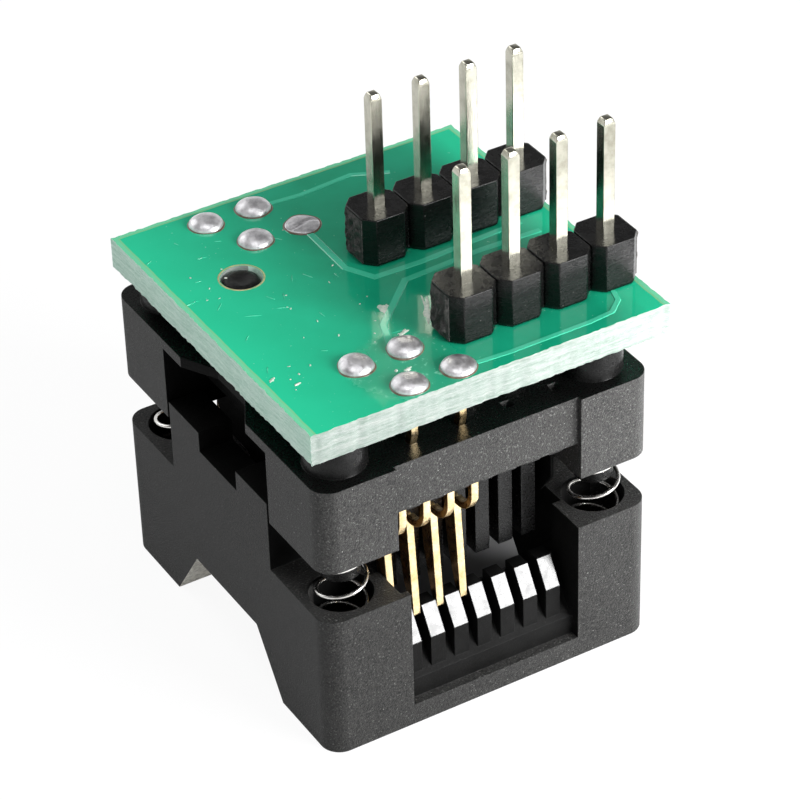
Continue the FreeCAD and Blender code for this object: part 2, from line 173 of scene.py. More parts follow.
def lathe(shape, x, y, profile, steps, wobble, top=False):
    """Adds a turned form to a bmesh, from (radius, height) points, with a slight wobble."""
    rings = []
    for radius, z in profile:
        ring = []
        for k in range(steps):
            angle = 2 * math.pi * k / steps
            spot = Vector((math.cos(angle), math.sin(angle), 0))
            spot += Vector((x, y, z)) * WOBBLE_SPACING
            r = radius * (1 + wobble * noise.noise(spot * WOBBLE_OUT))
            lift = wobble * WOBBLE_LIFT * radius * noise.noise(spot * WOBBLE_UP + WOBBLE_SHIFT)
            ring.append(shape.verts.new((x + r * math.cos(angle), y + r * math.sin(angle),
                                         z + lift)))
        rings.append(ring)
    join_rings(shape, rings, top=top)


# Node helpers

class Tree:
    """A short way to wire the nodes of a material or a world. A value that goes into a node is
    another node's socket, a number or a colour."""

    def __init__(self, tree):
        self.nodes = tree.nodes
        self.links = tree.links

    def feed(self, socket, value):
        if isinstance(value, bpy.types.NodeSocket):
            self.links.new(value, socket)
        else:
            socket.default_value = (*value, 1) if isinstance(value, tuple) else value

    def parts(self, vector):
        """The X, Y and Z of a vector."""
        node = self.nodes.new("ShaderNodeSeparateXYZ")
        self.links.new(vector, node.inputs[0])
        return node.outputs["X"], node.outputs["Y"], node.outputs["Z"]

    def ramp(self, value, *stops):
        """A colour ramp through (place, colour) stops. A colour may be one grey number."""
        node = self.nodes.new("ShaderNodeValToRGB")
        elements = node.color_ramp.elements
        while len(elements) < len(stops):
            elements.new(0.5)
        for element, (position, colour) in zip(elements, stops):
            element.position = position
            full = (colour,) * 3 if isinstance(colour, (int, float)) else colour
            element.color = (*full, 1)
        self.links.new(value, node.inputs["Fac"])
        return node.outputs["Color"]

    def spread(self, value, low, high, start=0.0, end=1.0):
        """Goes from low to high while the value goes from start to end."""
        node = self.nodes.new("ShaderNodeMapRange")
        for name, item in (("Value", value), ("From Min", start), ("From Max", end),
                           ("To Min", low), ("To Max", high)):
            self.feed(node.inputs[name], item)
        return node.outputs["Result"]

    def mix(self, share, first, second):
        """A blend of two colours."""
        node = self.nodes.new("ShaderNodeMix")
        node.data_type = "RGBA"
        for name, value in (("Factor", share), ("A", first), ("B", second)):
            self.feed(node.inputs[name], value)
        return node.outputs["Result"]

    def math(self, operation, first, second=0.0):
        node = self.nodes.new("ShaderNodeMath")
        node.operation = operation
        self.feed(node.inputs[0], first)
        self.feed(node.inputs[1], second)
        return node.outputs[0]

    def blend(self, share, first, second, output):
        """Sends a blend of two shaders to the output node."""
        node = self.nodes.new("ShaderNodeMixShader")
        for socket, value in zip(node.inputs, (share, first.outputs[0], second.outputs[0])):
            self.links.new(value, socket)
        self.links.new(node.outputs[0], output.inputs["Surface"])


class Shader(Tree):
    """The tree of a new material. Its textures lie in the object's place, in millimetres."""

    def __init__(self, name):
        self.material = bpy.data.materials.new(name)
        self.material.use_nodes = True
        super().__init__(self.material.node_tree)
        self.surface = self.nodes["Principled BSDF"]
        scale = self.nodes.new("ShaderNodeVectorMath")
        scale.operation = "SCALE"
        scale.inputs["Scale"].default_value = 1 / MM
        self.links.new(self.nodes.new("ShaderNodeTexCoord").outputs["Object"], scale.inputs[0])
        self.place = scale.outputs[0]

    def set(self, **values):
        """Sets or links sockets of the surface, whose names have _ for a space."""
        for key, value in values.items():
            self.feed(self.surface.inputs[key.replace("_", " ")], value)

    def colour(self, source):
        self.set(Base_Color=source)

    def rough(self, source):
        self.set(Roughness=source)

    def stretched(self, x, y, z):
        """The place, scaled along each axis."""
        node = self.nodes.new("ShaderNodeVectorMath")
        node.operation = "MULTIPLY"
        node.inputs[1].default_value = (x, y, z)
        self.links.new(self.place, node.inputs[0])
        return node.outputs[0]

    def noise(self, per_mm, detail, roughness, place=None):
        """Noise with a number of lumps per millimetre, some octaves of detail and its share."""
        node = self.nodes.new("ShaderNodeTexNoise")
        node.inputs["Scale"].default_value = per_mm
        node.inputs["Detail"].default_value = detail
        node.inputs["Roughness"].default_value = roughness
        self.links.new(place or self.place, node.inputs["Vector"])
        return node.outputs["Fac"]

    def dust(self, per_mm, core, rim):
        """Round specks: one within core of each cell's middle, and zero beyond rim."""
        node = self.nodes.new("ShaderNodeTexVoronoi")
        node.inputs["Scale"].default_value = per_mm
        self.links.new(self.place, node.inputs["Vector"])
        return self.ramp(node.outputs["Distance"], (core, 1.0), (rim, 0.0))

    def bump(self, height, distance, strength):
        """Adds a relief on top of the one that is there."""
        node = self.nodes.new("ShaderNodeBump")
        node.inputs["Distance"].default_value = distance
        node.inputs["Strength"].default_value = strength
        self.links.new(height, node.inputs["Height"])
        for link in self.surface.inputs["Normal"].links:
            self.links.new(link.from_socket, node.inputs["Normal"])
        self.links.new(node.outputs["Normal"], self.surface.inputs["Normal"])


def scaled(colour, gain):
    return tuple(value * gain for value in colour)


# Plastics

CLOUD_DARK, CLOUD_LIGHT = 0.008, 0.019
PIT_GREY = (0.042, 0.0415, 0.04)
FIBRE_GREY = (0.17, 0.169, 0.163)
DUST_GREY = (0.3, 0.3, 0.29)
# The notch bevel's pale colours are a painted reflection of the floor, with darker patches.
NOTCH_REFLECTION_DIM, NOTCH_PAINTED_REFLECTION = (0.55, 0.525, 0.46), (0.95, 0.92, 0.82)
HEADER_BLACK, HEADER_DUST = (0.0025, 0.0024, 0.0024), (0.14, 0.14, 0.135)
CRUMB_DARK, CRUMB_LIGHT = (0.010, 0.009, 0.009), (0.075, 0.07, 0.065)


def housing_plastic(name, tone, roughness, grain_depth, speckle, specular):
    """Black glass-filled plastic: a fine eroded grain with pale fibre specks and a little dust."""
    s = Shader(name)
    grain = s.noise(10.0, 3.0, 0.7)
    pits = s.ramp(grain, (0.40, 0.0), (0.62, 1.0))
    specks = s.ramp(s.noise(11.0, 2.0, 0.6), (0.60, 0.0), (0.70, 1.0))
    clouds = s.noise(0.6, 4.0, 0.65)
    colour = s.ramp(clouds, (0.35, CLOUD_DARK * tone), (0.7, CLOUD_LIGHT * tone))
    for marks, share, grey in ((pits, speckle, PIT_GREY), (specks, 0.6 * speckle, FIBRE_GREY),
                               (s.dust(1.7, 0.035, 0.06), 0.7 * speckle, DUST_GREY)):
        colour = s.mix(s.math("MULTIPLY", marks, share), colour, scaled(grey, tone))
    s.colour(colour)
    s.set(Specular_IOR_Level=specular)
    s.rough(s.ramp(grain, (0.3, roughness - 0.06), (0.7, roughness + 0.08)))
    s.bump(grain, grain_depth * MM, 0.9)
    return s.material


def slope_plastic():
    """The fins' slopes, smooth enough to mirror the key light, with rubbed and dull patches."""
    s = Shader("slope_plastic")
    patches = s.noise(2.2, 4.0, 0.7)
    s.colour(s.ramp(patches, (0.3, 0.006), (0.7, 0.03)))
    s.set(Specular_IOR_Level=0.6)
    s.rough(s.ramp(patches, (0.36, 0.21), (0.66, 0.33)))
    return s.material


def notch_painted_reflection():
    """The bevel of the left end notch: pale colours as a painted reflection of the floor, with
    darker patches.
    """
    s = Shader("notch_painted_reflection")
    reflection_patches = s.noise(3.5, 4.0, 0.7)
    s.colour(s.ramp(reflection_patches, (0.34, NOTCH_REFLECTION_DIM), (0.56, NOTCH_PAINTED_REFLECTION)))
    s.rough(s.ramp(reflection_patches, (0.3, 0.6), (0.7, 0.4)))
    return s.material


def header_plastic():
    """Smoother black plastic of the pin strips, with fine scratches and a little dust."""
    s = Shader("header_plastic")
    wisps = s.noise(2.0, 4.0, 0.7, s.stretched(1.0, 1.0, 3.0))
    s.colour(s.mix(s.dust(2.2, 0.03, 0.06), HEADER_BLACK, HEADER_DUST))
    s.set(Specular_IOR_Level=0.28)
    s.rough(s.ramp(wisps, (0.35, 0.2), (0.7, 0.38)))
    s.bump(s.noise(6.0, 3.0, 0.6), 0.012 * MM, 0.5)
    return s.material


def broken_plastic():
    """The rough end where a header strip was snapped off a longer one."""
    s = Shader("broken_plastic")
    crumbs = s.noise(5.0, 5.0, 0.75)
    s.colour(s.ramp(crumbs, (0.4, CRUMB_DARK), (0.72, CRUMB_LIGHT)))
    s.rough(s.ramp(crumbs, (0.3, 0.5), (0.7, 0.75)))
    s.bump(crumbs, 0.12 * MM, 1.0)
    return s.material


# Board materials, with places and reaches in millimetres

DEEP_GREEN = (0.004, 0.225, 0.118)
PALE_GREEN = (0.008, 0.285, 0.160)
LIT_GREEN = (0.012, 0.56, 0.30)
DUSTY_GREEN = (0.22, 0.56, 0.42)
RESIDUE_GREEN = (0.006, 0.17, 0.09)
FLECK_GREEN = (0.20, 0.52, 0.36)
BAND_GREEN = (0.13, 0.52, 0.30)
BAND_LINE = (0.36, 0.50, 0.22)
# How strongly light comes up through the board, over shares of a span from its left end
LIT_SPAN = 19.0
LIT = ((0.0, 1.0), (0.16, 0.66), (0.42, 0.12), (0.75, 0.0), (0.84, 0.0), (0.94, 0.75))
RESIDUE_CENTRE = (-2.5, -7.0)
RESIDUE_REACH = 6.0
RESIDUE_RAGGED = 1.6
RESIDUE_ROUGH = (0.42, 0.42, 0.42)
BAND_RAGGED = 0.1
FIBRES = ((0.32, (0.16, 0.20, 0.175)), (0.55, (0.28, 0.30, 0.285)), (0.75, (0.38, 0.375, 0.365)))
FLUFF = (0.43, 0.42, 0.41)
RESIN = (0.42, 0.95, 0.70)


def lighter(green, lift):
    """A green that is moved towards white, mostly in its green and blue parts."""
    return tuple(value + share * lift for value, share in zip(green, (1, 4, 3)))


def residue_share(s, x, y):
    """One in a ragged patch of flux residue round the front joints, and zero elsewhere."""
    off_x = s.math("SUBTRACT", x, RESIDUE_CENTRE[0])
    off_y = s.math("SUBTRACT", y, RESIDUE_CENTRE[1])
    away = s.math("SQRT", s.math("ADD", s.math("MULTIPLY", off_x, off_x),
                                 s.math("MULTIPLY", off_y, off_y)))
    ragged = s.math("ADD", away, s.math("MULTIPLY", s.noise(1.1, 3.0, 0.6), RESIDUE_RAGGED))
    return s.ramp(s.math("DIVIDE", ragged, RESIDUE_REACH), (0.50, 1.0), (0.62, 0.0))


def edge_inset(s, x, y):
    """How far a place lies in from the board's left, right or rear edge, slightly uneven."""
    middle = (board_low + board_high) / 2 / MM
    half = (board_high - board_low) / 2 / MM
    inset_x = s.math("SUBTRACT", half.x, s.math("ABSOLUTE", s.math("SUBTRACT", x, middle.x)))
    inset_y = s.math("SUBTRACT", board_high.y / MM, y)
    return s.math("ADD", s.math("MINIMUM", inset_x, inset_y),
                  s.math("MULTIPLY", s.noise(0.9, 2.0, 0.5), BAND_RAGGED))


def solder_mask(name, lift):
    """Glossy green lacquer. It stops short of the board's left, right and rear edges, where a bare
    band shows, it is brighter near both ends, where light comes up through the board, and residue
    makes it dull and flecked round the front joints."""
    s = Shader(name)
    x, y, _ = s.parts(s.place)
    clouds = s.noise(0.35, 3.0, 0.55)
    green = s.ramp(clouds, (0.3, lighter(DEEP_GREEN, lift)), (0.7, lighter(PALE_GREEN, lift)))
    lit = s.ramp(s.math("DIVIDE", s.math("SUBTRACT", x, board_low.x / MM), LIT_SPAN), *LIT)
    green = s.mix(s.math("MULTIPLY", lit, 0.75), green, LIT_GREEN)
    green = s.mix(s.ramp(s.noise(4.5, 2.0, 0.7), (0.70, 0.0), (0.78, 0.8)), green, DUSTY_GREEN)
    residue = residue_share(s, x, y)
    green = s.mix(s.math("MULTIPLY", residue, 0.4), green, RESIDUE_GREEN)
    flecks = s.ramp(s.noise(3.2, 4.0, 0.65), (0.60, 0.0), (0.68, 0.7))
    green = s.mix(s.math("MULTIPLY", residue, flecks), green, FLECK_GREEN)
    inset = edge_inset(s, x, y)
    band = s.ramp(inset, (0.0, 1.0), (0.27, 1.0), (0.31, 0.0))
    line = s.ramp(inset, (0.27, 0.0), (0.31, 1.0), (0.36, 1.0), (0.40, 0.0))
    green = s.mix(band, green, BAND_GREEN)
    s.colour(s.mix(s.math("MULTIPLY", line, 0.45), green, BAND_LINE))
    glossy = s.ramp(s.noise(1.2, 3.0, 0.6), (0.3, 0.06), (0.7, 0.13))
    s.rough(s.mix(residue, glossy, RESIDUE_ROUGH))
    s.set(Specular_IOR_Level=0.5, Coat_Roughness=0.04,
          Coat_Weight=s.math("MULTIPLY", s.math("SUBTRACT", 1.0, residue), 0.5))
    s.bump(s.noise(1.6, 3.0, 0.5), 0.004 * MM, 0.4)
    return s.material


def board_edge(name, tint, gain):
    """The sawn edge of the board: pale glass fibre in layers, tinted by the resin."""
    s = Shader(name)
    layers = s.noise(1.0, 4.0, 0.7, s.stretched(0.7, 0.7, 9.0))
    fluff = s.noise(4.0, 4.0, 0.7, s.stretched(1.0, 1.0, 2.5))
    fibre = s.ramp(layers, *((stop, scaled(colour, gain)) for stop, colour in FIBRES))
    pale = s.mix(s.ramp(fluff, (0.5, 0.0), (0.75, 0.7)), fibre, scaled(FLUFF, gain))
    s.colour(s.mix(tint, pale, RESIN))
    s.set(Roughness=0.62, Specular_IOR_Level=0.3, Subsurface_Weight=0.15, Subsurface_Scale=0.5)
    s.surface.inputs["Subsurface Radius"].default_value = (0.4 * MM, 0.6 * MM, 0.45 * MM)
    s.bump(layers, 0.04 * MM, 0.7)
    s.bump(fluff, 0.03 * MM, 0.6)
    return s.material


def bare_rim():
    """Bare laminate and a little copper at the edge of the lacquer."""
    s = Shader("bare_rim")
    patches = s.noise(3.0, 3.0, 0.6)
    s.colour(s.ramp(patches, (0.35, (0.16, 0.30, 0.12)), (0.65, (0.42, 0.33, 0.16))))
    s.set(Roughness=0.4)
    return s.material


# Metals and flux

def pin_metal():
    """Bright plated pins with a warm tint, drawn lines along them and a few dull patches."""
    s = Shader("pin_metal")
    lines = s.noise(3.0, 3.0, 0.6, s.stretched(6.0, 6.0, 0.35))
    patches = s.noise(1.3, 3.0, 0.7)
    s.set(Metallic=1.0)
    s.colour(s.ramp(patches, (0.3, (0.38, 0.37, 0.30)), (0.6, (0.56, 0.545, 0.46))))
    s.rough(s.ramp(lines, (0.3, 0.11), (0.7, 0.24)))
    s.bump(lines, 0.006 * MM, 0.6)
    return s.material


def solder_metal():
    """Bright solder whose skin is cloudy and slightly wrinkled."""
    s = Shader("solder_metal")
    clouds = s.noise(2.4, 4.0, 0.65)
    s.set(Metallic=1.0)
    s.colour(s.ramp(clouds, (0.3, (0.50, 0.49, 0.51)), (0.6, (0.84, 0.83, 0.85))))
    s.rough(s.ramp(s.noise(3.5, 3.0, 0.6), (0.3, 0.36), (0.7, 0.56)))
    s.bump(s.noise(3.4, 3.0, 0.6), 0.05 * MM, 0.5)
    return s.material


def contact_gold(name, darker_gold, lighter_gold):
    """Gold plating on stamped strip, between two shades, with a fine grain."""
    s = Shader(name)
    grain = s.noise(9.0, 3.0, 0.6)
    s.set(Metallic=1.0)
    s.colour(s.ramp(s.noise(1.8, 3.0, 0.65), (0.34, darker_gold), (0.62, lighter_gold)))
    s.rough(s.ramp(grain, (0.3, 0.22), (0.7, 0.42)))
    s.bump(grain, 0.012 * MM, 0.6)
    return s.material


def spring_steel():
    """Bright drawn wire."""
    s = Shader("spring_steel")
    patches = s.noise(2.0, 2.0, 0.6)
    s.set(Metallic=1.0)
    s.colour(s.ramp(patches, (0.3, (0.60, 0.58, 0.55)), (0.7, (0.80, 0.79, 0.77))))
    s.rough(s.ramp(s.noise(5.0, 2.0, 0.6), (0.3, 0.16), (0.7, 0.30)))
    return s.material


def flux_residue():
    """Brown rosin round a solder joint."""
    s = Shader("flux_residue")
    patches = s.noise(3.0, 3.0, 0.6)
    s.colour(s.ramp(patches, (0.3, (0.05, 0.035, 0.025)), (0.7, (0.17, 0.11, 0.07))))
    s.set(Roughness=0.35, Coat_Weight=0.3)
    return s.material


def dry_flux():
    """Whitish dried smears on the lacquer."""
    s = Shader("dry_flux")
    patches = s.noise(4.0, 4.0, 0.7)
    s.colour(s.ramp(patches, (0.3, (0.28, 0.42, 0.33)), (0.7, (0.72, 0.74, 0.66))))
    s.set(Roughness=0.8)
    s.bump(s.noise(7.0, 3.0, 0.6), 0.02 * MM, 0.8)
    return s.material


COVER_SKIN = housing_plastic("cover_plastic", tone=0.56, roughness=0.52, grain_depth=0.07,
                             speckle=1.3, specular=0.18)
BASE_SKIN = housing_plastic("base_plastic", tone=0.82, roughness=0.52, grain_depth=0.07,
                            speckle=1.3, specular=0.22)
# A darker copy of the housing plastic, for faces where shade falls: painted shade.
PAINTED_SHADE = housing_plastic("painted_shade_plastic", tone=0.12, roughness=0.6, grain_depth=0.02,
                         speckle=0.3, specular=0.06)
# A smoother and far darker copy of the housing plastic: the darkness is painted shade.
MOULDED_PAINTED_SHADE = housing_plastic("moulded_painted_shade_plastic", tone=0.2, roughness=0.28, grain_depth=0.008,
                          speckle=0.2, specular=0.22)
# A darker copy of the housing plastic for the comb inside the windows: painted shade.
COMB_PAINTED_SHADE = housing_plastic("comb_painted_shade_plastic", tone=0.22, roughness=0.5, grain_depth=0.01,
                       speckle=0.3, specular=0.08)
PEG = housing_plastic("melted_plastic", tone=0.05, roughness=0.10, grain_depth=0.05,
                      speckle=0.2, specular=0.2)
SLOPE = slope_plastic()
NOTCH_REFLECTION = notch_painted_reflection()
HEADER = header_plastic()
BROKEN = broken_plastic()
MASK = solder_mask("solder_mask", 0.0)
TRACE_MASK = solder_mask("trace_mask", 0.04)
SCRATCHED_MASK = solder_mask("scratched_mask", 0.07)
EDGE = board_edge("board_edge", tint=0.04, gain=0.80)
# The left-facing edge is a three times paler copy of the laminate: painted light.
EDGE_LEFT_PAINTED_LIGHT = board_edge("board_edge_left_painted_light", tint=0.35, gain=2.4)
RIM = bare_rim()
PIN = pin_metal()
SOLDER = solder_metal()
SHEARED_GOLD = contact_gold("sheared_gold", (0.60, 0.44, 0.22), (0.84, 0.67, 0.40))
# The broad sides take a far darker copy of the gold: painted shade.
ROLLED_GOLD_PAINTED_SHADE = contact_gold("rolled_gold_painted_shade", (0.16, 0.085, 0.03), (0.42, 0.24, 0.09))
STEEL = spring_steel()
FLUX = flux_residue()
DRY_FLUX = dry_flux()


# Socket housings, with boxes that hold the centres of faces, in millimetres

COVER_ROUND, BASE_ROUND, NEST_ROUND = 0.07 * MM, 0.06 * MM, 0.04 * MM
FAR = 99
WINDOWS = ((-7.6, -9.6, 1.2), (7.6, 9.6, 7.6))
FIN_TOPS = ((-7.6, -9.6, 4.0), (7.6, 9.6, 7.6))
LEFT_RECESS = ((-FAR, -5.0, -FAR), (-4.6, 5.0, base_top / MM - 0.01))
LEFT_END_SIDES = ((-FAR, -5.2, 7.7), (-5.0, 5.2, FAR))
LEFT_END_TOP = ((-FAR, -4.2, 9.0), (-5.0, 4.2, FAR))
LEFT_NOTCH = ((-FAR, 2.5, -FAR), (-5.3, 4.2, 3.3))
NEST_WALL_INNER, NEST_WALL_OUTER = 4.93 * MM, 5.12 * MM
NEST_WALL = ((-7.2, 12.45), (-7.2, 8.9), (-6.2, 7.55), (-3.45, 7.55), (-3.45, 6.2),
             (3.45, 6.2), (3.45, 7.55), (6.2, 7.55), (7.2, 8.9), (7.2, 12.45))


def lies_in(face, box):
    centre = face.calc_center_median() / MM
    return all(low < value < high for value, low, high in zip(centre, *box))


def in_window(face):
    """The comb and the rest of the cover inside its windows, which take a darker copy of the
    plastic as painted shade.
    """
    return lies_in(face, WINDOWS)


def on_slope(face):
    """The slopes on top of the comb's fins."""
    return lies_in(face, FIN_TOPS) and 0.4 < face.normal.z < 0.65 and abs(face.normal.y) > 0.75


def in_left_recess(face):
    """The sides of the gap in the middle of the base's left end, which the board keeps dark."""
    return lies_in(face, LEFT_RECESS)


def under_left_end(face):
    """The faces of the cover's left end wall that the base's corners overhang."""
    return (lies_in(face, LEFT_END_SIDES) and abs(face.normal.y) > 0.9
            or lies_in(face, LEFT_END_TOP) and face.normal.z > 0.9)


def in_left_notch(face):
    """The far side of the notch in the cover's left end."""
    return lies_in(face, LEFT_NOTCH) and face.normal.y < -0.75


def outside_base_sides(face):
    """The top of the base, and what reaches down from it past its columns."""
    height = face.calc_center_median().z
    return height > base_top - 0.01 * MM or height < column_bottom - 0.05 * MM


def on_strip_face(face):
    """The contacts' broad sides, which were rolled and not sheared."""
    return abs(face.normal.x) > 0.9


def recoat(piece, material, chosen):
    """Gives a piece's chosen faces another material."""
    shape = bmesh.new()
    shape.from_mesh(piece.data)
    piece.data.materials.append(material)
    for face in shape.faces:
        if chosen(face):
            face.material_index = len(piece.data.materials) - 1
    shape.to_mesh(piece.data)
    shape.free()


def nest_end_wall(name, side):
    """A thin wall with cut lower corners, which closes the nest beyond the last contact, coloured
    with the darker plastic as painted shade.
    """
    shape = bmesh.new()
    ring = [shape.verts.new((side * NEST_WALL_INNER, y * MM, z * MM)) for y, z in NEST_WALL]
    extrude_to(shape, [shape.faces.new(ring)], side * NEST_WALL_OUTER)
    wall = add_form(name, shape, PAINTED_SHADE, "adapter")
    round_edges(wall, NEST_ROUND)


cover = dressed_copy("socket_cover", "sliding_cover", COVER_SKIN, COVER_ROUND)
# Painted shade: the faces inside the windows take a darker copy of the plastic.
recoat(cover, COMB_PAINTED_SHADE, in_window)
recoat(cover, SLOPE, on_slope)
# Painted reflection: the far side of the left notch is coloured pale.
recoat(cover, NOTCH_REFLECTION, in_left_notch)
# Painted shade on the cover's left end wall under the base's overhanging corners.
recoat(cover, PAINTED_SHADE, under_left_end)
base = dressed_copy("socket_base", "fixed_base", BASE_SKIN, BASE_ROUND)
# Painted shade on the base's top under the board and on its faces below the columns.
recoat(base, MOULDED_PAINTED_SHADE, outside_base_sides)
# Painted shade on the sides of the base's left recess.
recoat(base, PAINTED_SHADE, in_left_recess)
# The pedestal takes the smoother, darker copy of the plastic: painted shade.
dressed_copy("chip_nest", "chip_pedestal", MOULDED_PAINTED_SHADE, NEST_ROUND)
nest_end_wall("nest_end_wall_left", -1)
nest_end_wall("nest_end_wall_right", 1)


# Contacts

CONTACT_ROUND = 0.03 * MM
for node in ROOTS + LEVERS:
    name = node.replace("contact_root", "contact_strap").replace("contact_lever", "contact_arm")
    contact = dressed_copy(node, name, SHEARED_GOLD, CONTACT_ROUND)
    # Painted shade: the contacts' broad sides are darkened.
    recoat(contact, ROLLED_GOLD_PAINTED_SHADE, on_strip_face)


# Springs

WIRE_R = 0.1 * MM
WIRE_SIDES = 8
WIRE_STEPS = 28
ACTIVE_TURNS = 6
CLOSED_TURNS = 2


def coil_spring(node):
    """Round wire wound from the floor of the cover's pocket up to the base's column."""
    low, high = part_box(node)
    middle = (low + high) / 2
    radius = (high.x - low.x) / 2 - WIRE_R
    pitch = (high.z - low.z - 2 * WIRE_R * (CLOSED_TURNS + 1)) / ACTIVE_TURNS
    shape = bmesh.new()
    sections = []
    for i in range((ACTIVE_TURNS + CLOSED_TURNS) * WIRE_STEPS + 1):
        turn = i / WIRE_STEPS
        open_turns = min(max(turn - CLOSED_TURNS / 2, 0), ACTIVE_TURNS)
        height = low.z + WIRE_R + pitch * open_turns + 2 * WIRE_R * (turn - open_turns)
        angle = 2 * math.pi * turn
        section = []
        for k in range(WIRE_SIDES):
            around = 2 * math.pi * k / WIRE_SIDES
            out = radius + WIRE_R * math.cos(around)
            section.append(shape.verts.new((middle.x + out * math.cos(angle),
                                            middle.y + out * math.sin(angle),
                                            height + WIRE_R * math.sin(around))))
        sections.append(section)
    join_rings(shape, sections, foot=True, top=True)
    piece = add_form(node.replace("cover_spring", "coil_spring"), shape, STEEL,
                     body_of(node))
    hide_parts(node)
    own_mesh(piece)


for node in SPRINGS:
    coil_spring(node)


# Header

# Each ring of a pin's blunt point: distance from the end in millimetres, and share of the width
PIN_POINT = ((0.0, 0.56), (0.035, 0.68), (0.10, 0.78), (0.27, 0.97), (0.34, 1.0))
PIN_ROUND, STRIP_ROUND = 0.035 * MM, 0.055 * MM
CORNER_CUT = 0.52 * MM
GROOVE = 0.07 * MM
WEB_DROP = 0.16 * MM
WEB_SHARE = 0.9
FOOT_SHARE = 0.07
FOOT_INSET = 0.06
TORN_ROWS, TORN_COLUMNS = 18, 14
TORN_HALF = 0.74 * MM
TORN_FOOT, TORN_TOP = 0.12 * MM, 2.44 * MM
TORN_DEPTH = 0.2 * MM
TORN_ROOT = 0.08 * MM
TORN_SWELL = 0.45


def pin_axis(node):
    low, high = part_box(node)
    return (low.x + high.x) / 2, (low.y + high.y) / 2


def blunt_pin(node):
    """A square pin with a blunt, slightly rounded point at both ends."""
    low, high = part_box(node)
    x, y = pin_axis(node)
    half = (high.x - low.x) / 2
    levels = [(low.z + away * MM, share) for away, share in PIN_POINT]
    levels += [(high.z - away * MM, share) for away, share in reversed(PIN_POINT)]
    shape = bmesh.new()
    rings = [[shape.verts.new((x + a * half * share, y + b * half * share, z))
              for a, b in ((-1, -1), (1, -1), (1, 1), (-1, 1))] for z, share in levels]
    join_rings(shape, rings, foot=True, top=True)
    pin = add_form(node.replace("header_pin", "plated_pin"), shape, PIN, "adapter")
    round_edges(pin, PIN_ROUND, angle=40)
    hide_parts(node)


def prism(shape, outline, low, high, inset=0.0):
    """Adds an upright prism to a bmesh, whose foot may be drawn in by a share."""
    middle = sum((Vector(p) for p in outline), Vector((0, 0))) / len(outline)
    rings = []
    for z, pull in ((low, inset), (low + (high - low) * FOOT_SHARE, 0.0), (high, 0.0)):
        spots = [Vector(p).lerp(middle, pull) for p in outline]
        rings.append([shape.verts.new((p.x, p.y, z)) for p in spots])
    join_rings(shape, rings, foot=True, top=True)


def pin_strip(end, pins):
    """A row of moulded cubes joined by a lower web, with a groove to snap at between each two."""
    node = "header_strip_" + end
    low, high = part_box(node)
    half = (high.x - low.x) / 2 / len(pins)
    reach = half - GROOVE / 2
    cut = half - CORNER_CUT
    web = cut * WEB_SHARE
    shape = bmesh.new()
    for pin in pins:
        x, y = pin_axis(pin)
        prism(shape, [(x - reach, y - cut), (x - cut, y - half), (x + cut, y - half),
                      (x + reach, y - cut), (x + reach, y + cut), (x + cut, y + half),
                      (x - cut, y + half), (x - reach, y + cut)], low.z, high.z, FOOT_INSET)
    left, right = low.x + GROOVE, high.x - GROOVE
    prism(shape, [(left, y - web), (right, y - web), (right, y + web), (left, y + web)],
          low.z, high.z - WEB_DROP)
    strip = add_form("pin_strip_" + end, shape, HEADER, "adapter")
    round_edges(strip, STRIP_ROUND)
    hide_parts(node)


def snapped_end(name, x, y, outward):
    """The torn web at one end of a strip, where it was snapped off its neighbour."""
    low, high = board_high.z + TORN_FOOT, board_high.z + TORN_TOP
    shape = bmesh.new()
    grid = []
    for i in range(TORN_ROWS + 1):
        line = []
        for j in range(TORN_COLUMNS + 1):
            across = 2 * j / TORN_COLUMNS - 1
            up = 2 * i / TORN_ROWS - 1
            fade = max(0.0, 1 - max(abs(across) ** 6, abs(up) ** 8))
            spot = Vector((x * 900, across * 2.3 + y * 400, up * 3.1))
            lump = max(0.0, noise.fractal(spot, 1.0, 2.0, 5) + TORN_SWELL)
            line.append(shape.verts.new((x + outward * fade * lump * TORN_DEPTH,
                                         y + across * TORN_HALF,
                                         (low + high) / 2 + up * (high - low) / 2)))
        grid.append(line)
    for lower, upper in zip(grid, grid[1:]):
        for j in range(TORN_COLUMNS):
            shape.faces.new((lower[j], lower[j + 1], upper[j + 1], upper[j]))
    extrude_to(shape, shape.faces[:], x - outward * TORN_ROOT)
    add_form(name, shape, BROKEN, "adapter", smooth=False)


for node in PINS:
    blunt_pin(node)
for end, pins in (("front", PINS[:4]), ("rear", PINS[4:])):
    pin_strip(end, pins)
    low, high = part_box("header_strip_" + end)
    middle_y = (low.y + high.y) / 2
    snapped_end("torn_web_left_" + end, low.x, middle_y, -1)
    snapped_end("torn_web_right_" + end, high.x, middle_y, 1)


# Board

BOARD_ROUND = 0.035 * MM
EDGE_CUTS = 90
FRAY = 0.07 * MM
FRAY_PER_MM = 2.6
FRAY_GAIN = 1.6
TRACE_HEIGHT = 0.03 * MM
# A track's cross-section: shares of half its width, and of its height
TRACE_SECTION = ((-1.2, -0.2), (-0.9, 1.0), (0.9, 1.0), (1.2, -0.2))
# Each track: name, width, and the places where it bends, in millimetres
TRACKS = (
    ("track_rear", 0.32, ((-0.69, 5.68), (-0.81, 1.43), (-0.04, 0.01), (2.36, -0.05), (8.11, 0.3))),
    ("track_middle", 0.32, ((-1.94, -6.01), (-2.22, -4.98), (-1.74, -3.58), (0.99, -0.96),
                            (5.24, -0.71), (8.51, -0.8))),
    ("track_front", 0.25, ((0.0, -8.4), (1.91, -8.53), (6.22, -8.5), (7.5, -8.37), (8.27, -7.71),
                           (8.85, -5.75))),
    ("track_back", 0.25, ((-1.82, 8.33), (0.59, 8.13), (3.52, 8.38), (5.28, 7.55))),
)


